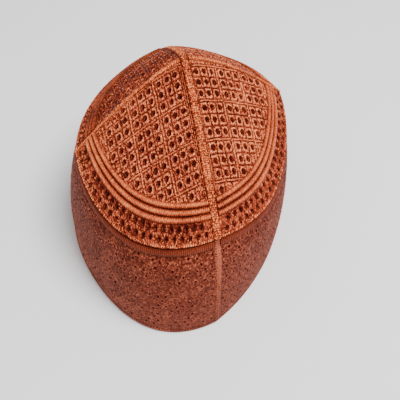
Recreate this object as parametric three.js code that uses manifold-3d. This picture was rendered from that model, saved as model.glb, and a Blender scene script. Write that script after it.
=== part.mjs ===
// Embroidered prayer cap: four pierced gores on a tall side band.
// Millimetres, +Z up. The rim stands on z = 0, the long seam's front foot points to -Y.
import * as THREE from 'three';
import { mergeVertices } from 'three/addons/utils/BufferGeometryUtils.js';
import Module from 'manifold-3d';

const wasm = await Module();
wasm.setup();

// Driving dimensions
const bandHeight = 89;        // floor to the crown's edge, at the seams
const crownRise = 46;         // crown's edge to the top
const rimHalfWidth = 85.7;    // outside, at the floor
const edgeHalfWidth = 72.7;   // outside, at the crown's edge
const frontReach = 1.282;     // front half length over half width
const backReach = 0.963;      // back half length over half width
const rimFrontFlare = 0.045;  // how much further forward the rim stands
const bandBulge = 2.6;        // the band's belly at half its height
const edgeShift = -4.4;       // the crown's edge sits this far forward of the rim
const apexRight = 2.4;        // the top's place beside and behind the middle
const apexBack = 8.7;
const apexFade = 1.5;         // how soon that shift dies out towards the edge
const sideSkew = 0.17;        // the side seams lie a little askew, right one back
const originBack = 17.02;     // brings the middle of the whole cap's box over the origin

const crownWall = 2.0;
const bandWall = 1.8;
const gap = 0.3;              // between pieces that touch
const seatGap = 0.35;         // under the pieces that lie on a curved one

const longSeamWidth = 5.0;
const ridgeWidth = 2.6;
const bandSeamWidth = 4.4;
const seamProud = 0.6;        // how far seams stand above the cloth
const seamCrown = 1.35;       // how much further along their middle line
const cordHeight = 1.7;
const cordPitch = 0.033;      // as a share of the way from the top to the crown's edge
const cordPlaces = [0.822, 0.822 + cordPitch, 0.822 + 2 * cordPitch];
const bindingHeight = 4.0;
const bindingWall = 1.4;
const bindingDrop = 2.25;     // from the crown's edge down to the binding
const bindingShare = 0.996;   // how much of the way to its side ridge a binding goes
const hemHeight = 5.0;
const hemWall = 2.6;
const bandTopInset = bindingWall + 2 * gap;
const bandTopDrop = 1.8;      // clears the sloping inside of the crown
const bandShoulder = bindingHeight + 3 * gap;
const insetFade = 14;         // the band comes out to its full width over this height

// Eyelets: a grid of groups of three by three, in the crown's plan
const eyeletAcross = 5.2;
const eyeletAlong = 7.1;
const groupAcross = 17.1;
const groupAlong = 22.7;
const groupSize = 3;
const gridLines = 12;         // rows and columns tried in each gore
const eyeletWide = 2.4;
const eyeletLong = 3.2;
const eyeletSides = 6;
const eyeletMargin = 2.0;     // from an eyelet's middle to a seam or the innermost cord

// A row for each gore: side and front are its quadrant's signs, roundEdge and roundRim say how full its
// curve is (0 a straight chord, 1 an arc), tiltEdge and tiltRim how much fuller it is towards the long seam,
// dip how far its edge sags, first the grid's first eyelet, across from the middle and along from the top.
const gores = [
  {
    name: 'front_right', side: 1, front: 1, roundEdge: 0.99, roundRim: 0.77,
    tiltEdge: 0.02, tiltRim: -0.015, dip: 6.3, first: [7.7, 9.9],
  },
  {
    name: 'front_left', side: -1, front: 1, roundEdge: 1.04, roundRim: 1.07,
    tiltEdge: 0, tiltRim: 0.03, dip: 6.7, first: [5.4, 7.9],
  },
  {
    name: 'back_right', side: 1, front: -1, roundEdge: 0.73, roundRim: 0.9,
    tiltEdge: 0, tiltRim: 0, dip: 4.8, first: [7.7, 9.2],
  },
  {
    name: 'back_left', side: -1, front: -1, roundEdge: 0.86, roundRim: 1.12,
    tiltEdge: 0, tiltRim: -0.03, dip: 1.4, first: [5.4, 9.2],
  },
];
const [frontRight, frontLeft, backRight, backLeft] = gores;
const roundTop = 0.63;
const frontProfile = 1.39;    // how the crown rounds over, front and back
const backProfile = 1.24;

const thread = { colour: 0xb4623a, roughness: 0.85, metalness: 0 };
const threadLight = { colour: 0xc97848, roughness: 0.7, metalness: 0 };
const threadShade = { colour: 0x8c4228, roughness: 0.88, metalness: 0 };

const lerp = THREE.MathUtils.lerp;
const quarter = Math.PI / 2;
const justShort = 0.999;      // share or way at which directions are taken, short of a border
const besideSeam = 0.025;     // angle beside a seam at which a gore's direction is taken

function goreAt(angle) {
  const side = Math.sin(angle) < 0 ? -1 : 1;
  const front = Math.cos(angle) < 0 ? -1 : 1;
  return gores.find((g) => g.side === side && g.front === front);
}

// Distance factor of a section that is part chord, part arc, for an angle from the front seam
function fullness(angle, round, tilt = 0) {
  const chord = 1 / (Math.abs(Math.sin(angle)) + Math.abs(Math.cos(angle)));
  return round + (1 - round) * chord + tilt * Math.sin(2 * angle) ** 2 * Math.cos(2 * angle);
}

function sag(angle, gore) {
  return gore.dip * Math.sin(2 * angle) ** 2;
}

// How much of the top's shift a point of the crown takes on
function lean(way) {
  return 1 - way ** apexFade;
}

function crownFullness(angle, way, gore) {
  return fullness(angle, lerp(roundTop, gore.roundEdge, way ** 2), gore.tiltEdge * way ** 2);
}

// Point on the crown's outside: angle from the front seam towards +X, way 0 at the top to 1 at the edge
function crownPoint(angle, way, gore = goreAt(angle)) {
  const factor = crownFullness(angle, way, gore) * way;
  const reach = gore.front > 0 ? frontReach : backReach;
  const backness = gore.front > 0 ? 0 : Math.cos(angle) ** 2;
  const profile = lerp(frontProfile, backProfile, backness);
  const x = edgeHalfWidth * factor * Math.sin(angle) + apexRight * lean(way);
  const y = -edgeHalfWidth * reach * factor * Math.cos(angle) + apexBack * lean(way) + edgeShift;
  const z = bandHeight + crownRise * (1 - way ** profile) - sag(angle, gore) * way ** 2;
  return new THREE.Vector3(x, y + sideSkew * x, z);
}

function edgeHeight(angle, gore = goreAt(angle)) {
  return bandHeight - sag(angle, gore);
}

// Half the cap's width at a share of the band's height
function bandHalfWidth(t) {
  return lerp(rimHalfWidth, edgeHalfWidth, t) + bandBulge * 4 * t * (1 - t);
}

// Point on the side band's outside: rise is the height above the floor
function bandPoint(angle, rise, gore = goreAt(angle)) {
  const t = rise / edgeHeight(angle, gore);
  const halfWidth = bandHalfWidth(t);
  const reach = gore.front > 0 ? frontReach * (1 + rimFrontFlare * (1 - t)) : backReach;
  const tilt = lerp(gore.tiltRim, gore.tiltEdge, t);
  const factor = fullness(angle, lerp(gore.roundRim, gore.roundEdge, t), tilt);
  const x = halfWidth * factor * Math.sin(angle);
  const y = -halfWidth * reach * factor * Math.cos(angle) + edgeShift * t;
  return new THREE.Vector3(x, y + sideSkew * x, rise);
}

// Outward normal of a surface given as point(u, v)
function normalAt(point, u, v) {
  const step = 1e-3;
  const du = point(u + step, v).sub(point(u - step, v));
  const dv = point(u, v + step).sub(point(u, v - step));
  const n = du.cross(dv).normalize();
  const outward = new THREE.Vector3(point(u, v).x, point(u, v).y, 20);
  return n.dot(outward) < 0 ? n.negate() : n;
}

// The angle, from the front or back seam of a gore's quadrant, that lies a set distance from a seam
function seamAngle(distance, reachAcross) {
  let angle = Math.asin(Math.min(1, distance / reachAcross));
  for (let i = 0; i < 6; i += 1) {
    angle = Math.asin(Math.min(1, distance / (reachAcross * fullness(angle, roundTop))));
  }
  return angle;
}

// Turns a gore's own share, 0 at the long seam to 1 at its side ridge, into an angle round the cap
function goreAngle(gore, share, way, seamClear, ridgeClear) {
  const reach = gore.front > 0 ? frontReach : backReach;
  const start = seamAngle(seamClear, edgeHalfWidth * way);
  const end = quarter - seamAngle(ridgeClear, edgeHalfWidth * reach * way);
  const own = lerp(start, end, share);
  return gore.side * (gore.front > 0 ? own : Math.PI - own);
}

// Closed solid from rings of points, each ring a closed outline, joined in turn
function loft(rings, closed) {
  const count = rings[0].length;
  const positions = rings.flat().flatMap((p) => [p.x, p.y, p.z]);
  const faces = [];
  const spans = closed ? rings.length : rings.length - 1;
  for (let i = 0; i < spans; i += 1) {
    const near = i * count;
    const far = ((i + 1) % rings.length) * count;
    for (let j = 0; j < count; j += 1) {
      const k = (j + 1) % count;
      faces.push([near + j, near + k, far + k], [near + j, far + k, far + j]);
    }
  }
  if (!closed) {
    const last = (rings.length - 1) * count;
    for (let j = 1; j < count - 1; j += 1) {
      faces.push([0, j + 1, j], [last, last + j, last + j + 1]);
    }
  }
  return facingOut(positions, faces);
}

// Closed shell between two grids of points with the same rows and columns
function shell(outer, inner) {
  const rows = outer.length;
  const columns = outer[0].length;
  const positions = [...outer.flat(), ...inner.flat()].flatMap((p) => [p.x, p.y, p.z]);
  const under = rows * columns;
  const at = (i, j) => i * columns + j;
  const faces = [];
  const quad = (a, b, c, d) => faces.push([a, b, c], [a, c, d]);
  for (let i = 0; i < rows - 1; i += 1) {
    for (let j = 0; j < columns - 1; j += 1) {
      quad(at(i, j), at(i, j + 1), at(i + 1, j + 1), at(i + 1, j));
      quad(under + at(i, j), under + at(i + 1, j), under + at(i + 1, j + 1), under + at(i, j + 1));
    }
  }
  for (let j = 0; j < columns - 1; j += 1) {
    const end = rows - 1;
    quad(at(0, j), under + at(0, j), under + at(0, j + 1), at(0, j + 1));
    quad(at(end, j), at(end, j + 1), under + at(end, j + 1), under + at(end, j));
  }
  for (let i = 0; i < rows - 1; i += 1) {
    const end = columns - 1;
    quad(at(i, 0), at(i + 1, 0), under + at(i + 1, 0), under + at(i, 0));
    quad(at(i, end), under + at(i, end), under + at(i + 1, end), at(i + 1, end));
  }
  return facingOut(positions, faces);
}

// Buffer geometry whose faces all point out, whichever way round they were listed
function facingOut(positions, faces) {
  const corner = (i) => new THREE.Vector3().fromArray(positions, 3 * i);
  const volume = faces.reduce((sum, [a, b, c]) => sum + corner(a).dot(corner(b).cross(corner(c))), 0);
  const index = faces.flatMap(([a, b, c]) => (volume > 0 ? [a, b, c] : [a, c, b]));
  const geometry = new THREE.BufferGeometry();
  geometry.setAttribute('position', new THREE.Float32BufferAttribute(positions, 3));
  geometry.setIndex(index);
  return geometry;
}

function toManifold(geometry) {
  const bare = geometry.clone();
  bare.deleteAttribute('normal');
  bare.deleteAttribute('uv');
  const merged = mergeVertices(bare, 1e-4);
  return new wasm.Manifold(new wasm.Mesh({
    numProp: 3,
    vertProperties: new Float32Array(merged.attributes.position.array),
    triVerts: new Uint32Array(merged.index.array),
  }));
}

function fromManifold(solid) {
  const mesh = solid.getMesh();
  const geometry = new THREE.BufferGeometry();
  geometry.setAttribute('position', new THREE.BufferAttribute(new Float32Array(mesh.vertProperties), 3));
  geometry.setIndex([...mesh.triVerts]);
  return geometry;
}

const cap = new THREE.Group();

function addPiece(name, geometry, look) {
  geometry.translate(0, originBack, 0);
  geometry.computeVertexNormals();
  const material = new THREE.MeshStandardMaterial({
    color: look.colour,
    roughness: look.roughness,
    metalness: look.metalness,
  });
  const mesh = new THREE.Mesh(geometry, material);
  mesh.name = name;
  cap.add(mesh);
}

const goreColumns = 10;
const goreWays = [0.06, 0.14, 0.26, 0.4, 0.55, 0.7, 0.85, 1];
const ridgeStart = 0.045;
const seamClear = longSeamWidth / 2 + gap;
const ridgeClear = (ridgeWidth / 2 + seatGap) * Math.hypot(1, sideSkew);
const acrossRidge = new THREE.Vector3(-sideSkew, 1, 0).normalize();

function crownNormal(gore, angle, way) {
  return normalAt((a, w) => crownPoint(a, w, gore), angle, Math.min(way, justShort));
}

// Point above a gore's outside, or under it. Along a gore's two seams it moves in the seam's own plane, so
// that the cut edges of two gores stay parallel.
function onCrown(gore, share, way, lift) {
  const angle = goreAngle(gore, share, way, seamClear, ridgeClear);
  const normal = crownNormal(gore, angle, way);
  const border = 0.5 / goreColumns;
  if (share < border) normal.setX(0).normalize();
  if (share > 1 - border) normal.projectOnPlane(acrossRidge).normalize();
  return crownPoint(angle, way, gore).addScaledVector(normal, lift);
}

// Places of a gore's eyelets: in each group of three by three, the corners and the middle are cut through
function eyeletPlaces(gore) {
  const places = [];
  for (let i = 0; i < gridLines; i += 1) {
    for (let j = 0; j < gridLines; j += 1) {
      const inGroup = [i % groupSize, j % groupSize];
      if ((inGroup[0] + inGroup[1]) % 2) continue;
      const across = gore.first[0] + Math.floor(i / groupSize) * groupAcross + inGroup[0] * eyeletAcross;
      const along = gore.first[1] + Math.floor(j / groupSize) * groupAlong + inGroup[1] * eyeletAlong;
      const place = placeInPlan(gore, across, along);
      if (place) places.push(place);
    }
  }
  return places;
}

// Finds the angle and way of a point given in plan, or nothing where the cloth has no room for an eyelet
function placeInPlan(gore, across, along) {
  const reach = gore.front > 0 ? frontReach : backReach;
  let way = 0.5;
  let own = 0.5;
  for (let i = 0; i < 40; i += 1) {
    const x = (across - gore.side * apexRight * lean(way)) / edgeHalfWidth;
    const y = (along - gore.front * apexBack * (1 - lean(way))) / (edgeHalfWidth * reach);
    own = Math.atan2(x, y);
    way = lerp(way, Math.hypot(x, y) / crownFullness(own, way, gore), 0.6);
  }
  const fromSeam = edgeHalfWidth * way * Math.sin(own);
  const fromRidge = edgeHalfWidth * reach * way * Math.cos(own);
  const fromCord = (cordPlaces[0] - cordPitch / 2 - way) * edgeHalfWidth;
  if (Math.min(fromSeam - seamClear, fromRidge - ridgeClear, fromCord) < eyeletMargin) return null;
  return { angle: gore.side * (gore.front > 0 ? own : Math.PI - own), way };
}

function eyeletCutter(gore, { angle, way }) {
  const outline = new THREE.Shape();
  for (let i = 0; i < eyeletSides; i += 1) {
    const turn = (i / eyeletSides) * 2 * Math.PI;
    outline[i ? 'lineTo' : 'moveTo'](eyeletWide / 2 * Math.cos(turn), eyeletLong / 2 * Math.sin(turn));
  }
  const depth = 4 * crownWall;
  const prism = new THREE.ExtrudeGeometry(outline, { depth, steps: 1, bevelEnabled: false });
  const normal = crownNormal(gore, angle, way);
  const across = new THREE.Vector3(0, 1, 0).cross(normal).normalize();
  const along = normal.clone().cross(across);
  const centre = crownPoint(angle, way, gore).addScaledVector(normal, -depth / 2);
  prism.applyMatrix4(new THREE.Matrix4().makeBasis(across, along, normal).setPosition(centre));
  return toManifold(prism);
}

function makeGore(gore) {
  const grid = (lift) => goreWays.map((way) => (
    Array.from({ length: goreColumns + 1 }, (_, j) => onCrown(gore, j / goreColumns, way, lift))
  ));
  let cloth = toManifold(shell(grid(0), grid(-crownWall)));
  for (const place of eyeletPlaces(gore)) {
    cloth = cloth.subtract(eyeletCutter(gore, place));
  }
  addPiece(`crown_gore_${gore.name}`, fromManifold(cloth), thread);
}

// Half-round ridge that lies on the gore along its foot
function makeBaseCord(gore, way, number) {
  const arcSides = 4;
  const rings = [];
  for (let i = 0; i <= goreColumns; i += 1) {
    const share = i / goreColumns;
    const foot = onCrown(gore, share, way, seatGap);
    const up = onCrown(gore, share, way, 1 + seatGap).sub(foot);
    const aside = onCrown(gore, share, way + cordPitch / 2, seatGap)
      .sub(onCrown(gore, share, way - cordPitch / 2, seatGap));
    const halfWidth = (aside.length() - seatGap) / 2;
    aside.normalize();
    rings.push(Array.from({ length: arcSides + 1 }, (_, j) => {
      const turn = (j / arcSides) * Math.PI;
      return foot.clone()
        .addScaledVector(aside, halfWidth * Math.cos(turn))
        .addScaledVector(up, cordHeight * Math.sin(turn));
    }));
  }
  addPiece(`base_cord_${gore.name}_${number}`, loft(rings, false), threadLight);
}

// Strip with a rectangular section that fills a seam: stations are a point, its outward and its side direction
function seamStrip(stations, width, wall, proud) {
  return loft(stations.map(({ point, up, aside }) => (
    [[-1, 1], [0, seamCrown], [1, 1], [1, 0], [-1, 0]].map(([s, h]) => point.clone()
      .addScaledVector(aside, s * width / 2)
      .addScaledVector(up, h > 0 ? proud * h : -wall))
  )), false);
}

// Outward direction on a seam, half way between those of the gores before and after it
function seamUp(angle, way, before, after) {
  const early = crownNormal(before, angle - besideSeam, way);
  return early.add(crownNormal(after, angle + besideSeam, way)).normalize();
}

function makeLongSeam() {
  const aside = new THREE.Vector3(1, 0, 0);
  const station = (angle, before, after) => (way) => ({
    point: crownPoint(angle, way, before),
    up: seamUp(angle, way, before, after).setX(0).normalize(),
    aside,
  });
  const front = goreWays.map(station(0, frontLeft, frontRight)).reverse();
  const top = { point: crownPoint(0, 0, frontRight), up: new THREE.Vector3(0, 0, 1), aside };
  const back = goreWays.map(station(Math.PI, backRight, backLeft));
  addPiece('crown_seam_long', seamStrip([...front, top, ...back], longSeamWidth, crownWall, seamProud), thread);
}

function makeRidge(name, angle, before, after) {
  const stations = [ridgeStart, ...goreWays.slice(1)].reverse().map((way) => {
    const point = crownPoint(angle, way, before);
    const ahead = crownPoint(angle, way * justShort, before).sub(point).normalize();
    const up = seamUp(angle, way, before, after).projectOnPlane(ahead).normalize();
    return { point, up, aside: up.clone().cross(ahead) };
  });
  addPiece(`crown_ridge_${name}`, seamStrip(stations, ridgeWidth, crownWall, seamProud), thread);
}

// Moves a point of the wall in or out, level with the floor, and along a seam in the seam's own plane
function levelOffset(gore, angle, rise, distance, alongSeam = false) {
  const normal = normalAt((a, r) => bandPoint(a, r, gore), angle, rise).setZ(0);
  if (alongSeam) normal.setX(0);
  return bandPoint(angle, rise, gore).addScaledVector(normal.normalize(), distance);
}

// Angle for a gore's own share of the wall, which keeps clear of the band seam at every height
function wallAngle(gore, share, rise) {
  const start = seamAngle(bandSeamWidth / 2 + gap, bandHalfWidth(rise / bandHeight));
  const own = lerp(start, quarter, share);
  return gore.side * (gore.front > 0 ? own : Math.PI - own);
}

function makeBinding(gore) {
  const rings = [];
  for (let i = 0; i <= goreColumns; i += 1) {
    const angle = wallAngle(gore, (i / goreColumns) * bindingShare, bandHeight);
    const top = edgeHeight(angle, gore) - bindingDrop;
    const corner = (rise, inset) => levelOffset(gore, angle, rise, -inset, i === 0);
    rings.push([
      corner(top, gap),
      corner(top, gap + bindingWall),
      corner(top - bindingHeight, gap + bindingWall),
      corner(top - bindingHeight, gap),
    ]);
  }
  addPiece(`edge_binding_${gore.name}`, loft(rings, false), thread);
}

const bandColumns = 10;

// Heights of the band's rows, from the hem to its top edge
function bandRises(top) {
  const foot = hemHeight + gap;
  const shoulder = top - bandShoulder;
  const shares = [0, 0.25, 0.5, 0.7, 0.87, 1];
  return [...shares.map((share) => lerp(foot, shoulder, share)), top];
}

// How far the band stands in from the crown's edge line at a height, to pass behind the binding
function bandInset(rise, top) {
  const below = THREE.MathUtils.clamp((top - bandShoulder - rise) / insetFade, 0, 1);
  return bandTopInset * (1 - below) ** 2;
}

function makeBandHalf(name, front, back) {
  const steps = Array.from({ length: bandColumns }, (_, i) => i);
  const columns = [
    ...steps.map((i) => ({ gore: front, share: i / bandColumns })),
    { gore: front, share: justShort },
    ...steps.map((i) => ({ gore: back, share: 1 - (i + 1) / bandColumns })),
  ];
  const column = ({ gore, share }, depth) => {
    const top = edgeHeight(wallAngle(gore, share, bandHeight), gore) - bandTopDrop;
    return bandRises(top).map((rise) => {
      const angle = wallAngle(gore, share, rise);
      return levelOffset(gore, angle, rise, -bandInset(rise, top) - depth, share === 0);
    });
  };
  const grid = (depth) => columns.map((place) => column(place, depth));
  addPiece(`side_band_${name}`, shell(grid(0), grid(bandWall)), threadShade);
}

function makeBandSeam(name, gore, angle) {
  const mid = (rise, distance) => {
    const point = bandPoint(angle, rise, gore);
    return point.setY(point.y - gore.front * distance);
  };
  const top = bandHeight - bandTopDrop;
  const aside = new THREE.Vector3(1, 0, 0);
  const stations = bandRises(top).map((rise) => ({
    point: mid(rise, -bandInset(rise, top)),
    up: new THREE.Vector3(0, -gore.front, 0),
    aside,
  }));
  addPiece(`band_seam_${name}`, seamStrip(stations, bandSeamWidth, bandWall, seamProud), threadShade);
}

function makeHem() {
  const steps = 44;
  const rings = [];
  for (let i = 0; i < steps; i += 1) {
    const angle = (i / steps) * 2 * Math.PI;
    const gore = goreAt(angle);
    const corner = (rise, inset) => levelOffset(gore, angle, rise, -inset);
    rings.push([
      corner(0, 0),
      corner(hemHeight, -gap),
      corner(hemHeight, hemWall - gap),
      corner(0, hemWall),
    ]);
  }
  addPiece('rim_hem', loft(rings, true), threadShade);
}

gores.forEach((gore) => {
  makeGore(gore);
  cordPlaces.forEach((way, i) => makeBaseCord(gore, way, i + 1));
  makeBinding(gore);
});
makeLongSeam();
makeRidge('right', quarter, frontRight, backRight);
makeRidge('left', -quarter, backLeft, frontLeft);
makeBandHalf('right', frontRight, backRight);
makeBandHalf('left', frontLeft, backLeft);
makeBandSeam('front', frontRight, 0);
makeBandSeam('back', backRight, Math.PI);
makeHem();

export default cap;
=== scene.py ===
# Looks of the embroidered prayer cap: thread lattice, eyelets, cords, seams and side band.
# The shapes are worked out in millimetres, on the same surfaces as the CAD, and scaled to metres.
import math

import bpy
import numpy as np
from mathutils import Matrix, Vector
from mathutils.geometry import delaunay_2d_cdt


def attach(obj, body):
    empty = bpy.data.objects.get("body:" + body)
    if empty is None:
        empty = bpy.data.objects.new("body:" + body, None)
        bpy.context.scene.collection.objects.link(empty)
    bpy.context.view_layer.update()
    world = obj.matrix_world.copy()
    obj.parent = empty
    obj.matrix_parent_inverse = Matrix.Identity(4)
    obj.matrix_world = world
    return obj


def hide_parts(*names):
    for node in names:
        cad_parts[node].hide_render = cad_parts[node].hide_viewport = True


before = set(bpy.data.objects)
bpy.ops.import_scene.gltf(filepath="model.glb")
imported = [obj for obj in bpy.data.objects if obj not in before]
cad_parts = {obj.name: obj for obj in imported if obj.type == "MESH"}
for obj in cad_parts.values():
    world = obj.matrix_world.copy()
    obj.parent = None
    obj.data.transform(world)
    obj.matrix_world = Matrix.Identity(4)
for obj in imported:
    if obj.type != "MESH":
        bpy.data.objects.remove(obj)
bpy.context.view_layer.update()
chance = np.random.default_rng(11)
MM = 0.001
QUARTER = math.pi / 2

# Driving dimensions, the same as the CAD's, in millimetres. A way runs from 0 at the top to 1 at the crown's
# edge, and an own angle from 0 at the long seam to a quarter turn at the gore's side ridge.
BAND_HEIGHT = 89.0
CROWN_RISE = 46.0
RIM_HALF_WIDTH = 85.7
EDGE_HALF_WIDTH = 72.7
FRONT_REACH = 1.282  # length of the front half over the half width
BACK_REACH = 0.963
RIM_FRONT_FLARE = 0.045
BAND_BULGE = 2.6
EDGE_SHIFT = -4.4  # of the crown against the rim, along y
APEX_RIGHT = 2.4
APEX_BACK = 8.7
SIDE_SKEW = 0.17  # slope of the side seams, which lie askew to the long one
ORIGIN_BACK = 17.02  # brings the middle of the cap's box to the origin
CROWN_WALL = 2.0
BAND_WALL = 1.8
ROUND_TOP = 0.63  # fullness near the top: 1 is round and less is pointed
FRONT_PROFILE = 1.39  # power of the crown's fall towards its edge
BACK_PROFILE = 1.24
LONG_SEAM_WIDTH = 5.0
RIDGE_WIDTH = 2.6
BAND_SEAM_WIDTH = 4.4
CORD_PLACES = (0.822, 0.855, 0.888)
CORD_PITCH = 0.033
CORD_HEIGHT = 1.7
BINDING_DROP = 2.25
BAND_TOP_DROP = 1.8
BAND_TOP_INSET = 2.0
BAND_SHOULDER = 4.9
INSET_FADE = 14.0
HEM_HEIGHT = 5.0

# From a seam's middle to the cloth beside it. The band's cloth runs a little under its seams.
SEAM_CLEAR = LONG_SEAM_WIDTH / 2 + 0.1
RIDGE_CLEAR = RIDGE_WIDTH / 2 + 0.15
BAND_CLEAR = BAND_SEAM_WIDTH / 2 - 0.6
BINDING_CLEAR = BAND_SEAM_WIDTH / 2 - 0.3
BAND_FOOT = HEM_HEIGHT + 0.1

# The lattice on the crown, in plan
EYELET_ACROSS = 5.2
EYELET_ALONG = 7.1
GROUP_ACROSS = 17.1
GROUP_ALONG = 22.7
GROUP_SIZE = 3
GROUPS = 4
HOLE_WIDE = 2.8
HOLE_LONG = 3.45
HOLE_SPREAD = (0.85, 1.08)
HOLE_SIDES = 16
HOLE_CLEAR = 2.1  # from an eyelet's middle to the border of its cloth
FUNNEL = 0.22  # share of an eyelet's size that is left on the inside
LATTICE_START = 0.055
LATTICE_END = 0.81
FINE_STEP = 0.6  # of the points between which the crown's cloth is triangulated
LINE_CLEAR = 0.5  # rows of points run this far beside each groove
BORDER_INSETS = (0.3, 0.58, 0.85)
SIDE_CORD = 1.15  # pitch of the thin cords beside the seams
SIDE_CORD_CLEAR = 1.5
RIDGE_CORDS = 1
# Tone of the cloth's inside, painted darker as the shade within the cap
INNER_TONE = 0.3

# The belt of eyelets between the base cords and the crown's edge, laid flat
BELT_START = 0.9
BELT_ACROSS = 10.0
BELT_ROWS = (0.923, 0.965)
BELT_COUNT = 24
BELT_PITCH = 5.2
BELT_STEP = math.radians(3.9)  # own angle of one pitch
BELT_FIRST = 0.9
THREADS_ROUND = 7
THREAD_SECTION = ((-0.2, 0.0), (0.0, 0.2), (0.2, 0.0), (0.0, -0.2))

# The beaded line along the crown's edge, and the wrapped base cords
BEADS = 83
BEAD_STATIONS = 6
BEAD_RADIUS = 0.8
BEAD_WAY = 0.994
BEAD_TURNS = 8
WRAP_PITCH = 1.15
WRAP_SLANT = 1.2
CORD_STATIONS = 441

# The side band's small eyelets, of which a share is left out at random
MESH_PITCH = 5.4
MESH_ROW = 4.8
MESH_FOOT = 10.5
MESH_HEAD = 86
MESH_CLEAR = 4
MESH_HOLE = 1.4
MESH_STRETCH = 1.3
MESH_STEP = 1.05
SKIPPED_RIGHT = 0.2
SKIPPED_LEFT = 0.45
FAR_GAP = 9.0
CELL = 4.0

# Knitted seams: stitch pitch and slant, height, depth, unevenness, border grooves and their painted shade
LONG_KNIT = {"rib": 1.4, "slant": 0.4, "proud": 0.6, "depth": 0.13, "rough": 1.4, "border": 0.2, "dark": 0.6}
RIDGE_KNIT = {"rib": 1.3, "slant": 0.3, "proud": 0.65, "depth": 0.1, "rough": 0.4, "border": 0.4, "dark": 0.6}
BAND_KNIT = {"rib": 1.6, "slant": 0.2, "proud": 0.7, "depth": 0.06, "rough": 0.6, "border": 0.4, "dark": 0.2}
KNIT_STEP = 0.36

# Profiles of the binding, from its upper line, and of the hem, from the floor: height, outwards, tone
# The tone is painted highlight on each outer face and painted shade where the profile turns under or inwards
BINDING_PROFILE = ((0.6, -0.9, 0.3), (0.0, -0.25, 0.5), (-1.2, 0.0, 0.6), (-2.6, 0.0, 0.6),
                   (-3.7, -0.2, 0.5), (-4.1, -0.7, 0.2), (-4.1, -1.7, 0.0), (0.6, -1.7, 0.0))
HEM_PROFILE = ((0.35, -0.1, 0.2), (1.3, 0.25, 0.45), (2.6, 0.35, 0.55), (3.9, 0.3, 0.45), (5.0, 0.0, 0.2),
               (5.0, -2.3, 0.1), (2.5, -2.75, 0.1), (0.35, -2.5, 0.1), (0.0, -1.9, 0.1), (0.0, -0.6, 0.1))
RIBBED_OVER = 0.3  # profile points lighter than this carry ribs
BINDING_STATIONS = 1500
BINDING_RIB = 1.25
HEM_STATIONS = 275
HEM_RIB = 4


class Gore:
    """A quarter of the crown, with its values under the names of the columns below.

    side is 1 on the right and front 1 in front, otherwise -1. round_ and tilt_ say how full its curve is at
    the crown's edge and at the rim, and how it leans. dip is how far its edge hangs in the middle. first is
    the plan place of the eyelet nearest the top, and seam_cords counts the thin cords beside the long seam.
    crisp is the strength of the lattice, worn its unevenness and shade how much painted shade darkens it.
    """

    def __init__(self, shape, threads):
        for column, value in zip(SHAPE_COLUMNS + THREAD_COLUMNS, shape + threads):
            setattr(self, column, value)
        self.reach = FRONT_REACH if self.front > 0 else BACK_REACH


SHAPE_COLUMNS = ("name", "side", "front", "round_edge", "round_rim", "tilt_edge", "tilt_rim", "dip")
GORE_SHAPES = (
    ("front_right", 1, 1, 0.99, 0.77, 0.02, -0.015, 6.3),
    ("front_left", -1, 1, 1.04, 1.07, 0.0, 0.03, 6.7),
    ("back_right", 1, -1, 0.73, 0.9, 0.0, 0.0, 4.8),
    ("back_left", -1, -1, 0.86, 1.12, 0.0, -0.03, 1.4),
)
THREAD_COLUMNS = ("first", "seam_cords", "crisp", "worn", "shade", "belt_holes", "belt_tone", "belt_worn")
GORE_THREADS = (
    ((7.7, 9.9), 1, 1.15, 0.15, 0.03, (3.1, 2.7), 0.3, 0.25),
    ((5.4, 7.9), 2, 1.0, 0.6, 0.02, (3.9, 2.9), 0.24, 0.6),
    ((7.7, 9.2), 1, 0.8, 0.5, 0.08, (2.9, 2.6), 0.22, 0.4),
    ((5.4, 9.2), 1, 0.7, 0.7, 0.23, (2.9, 2.6), 0.16, 0.4),
)
GORES = [Gore(shape, threads) for shape, threads in zip(GORE_SHAPES, GORE_THREADS)]
FRONT_RIGHT, FRONT_LEFT, BACK_RIGHT, BACK_LEFT = GORES


def lerp(a, b, t):
    return a + (b - a) * t


def bump(distance, width):
    """A smooth hill, 1 at distance 0."""
    return np.exp(-(distance / width) ** 2)


def unit(vectors):
    return vectors / np.linalg.norm(vectors, axis=-1, keepdims=True)


def upward(vectors):
    """The same directions, turned over where they point down."""
    return vectors * np.sign(vectors[:, 2:3])


def lengths_along(points):
    """Length along a line at each of its points."""
    return np.concatenate([[0], np.cumsum(np.linalg.norm(np.diff(points, axis=0), axis=1))])


def fullness(own, roundness, tilt=0.0):
    """Factor on the radius: 1 all round for a roundness of 1, a straight chord for 0."""
    chord = 1 / (np.abs(np.sin(own)) + np.abs(np.cos(own)))
    return roundness + (1 - roundness) * chord + tilt * np.sin(2 * own) ** 2 * np.cos(2 * own)


def crown_fullness(gore, own, way):
    return fullness(own, lerp(ROUND_TOP, gore.round_edge, way ** 2), gore.tilt_edge * way ** 2)


def crown(gore, own, way):
    """Points on the crown: own is the angle from the long seam, way 0 at the top to 1 at the edge."""
    own, way = np.broadcast_arrays(np.asarray(own, float), np.asarray(way, float))
    factor = crown_fullness(gore, own, way) * way
    lean = 1 - way ** 1.5
    backness = 0 if gore.front > 0 else np.cos(own) ** 2
    profile = lerp(FRONT_PROFILE, BACK_PROFILE, backness)
    x = gore.side * EDGE_HALF_WIDTH * factor * np.sin(own) + APEX_RIGHT * lean
    y = -gore.front * EDGE_HALF_WIDTH * gore.reach * factor * np.cos(own) + APEX_BACK * lean + EDGE_SHIFT
    z = BAND_HEIGHT + CROWN_RISE * (1 - way ** profile) - gore.dip * np.sin(2 * own) ** 2 * way ** 2
    return np.stack([x, y + SIDE_SKEW * x + ORIGIN_BACK, z], -1)


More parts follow.
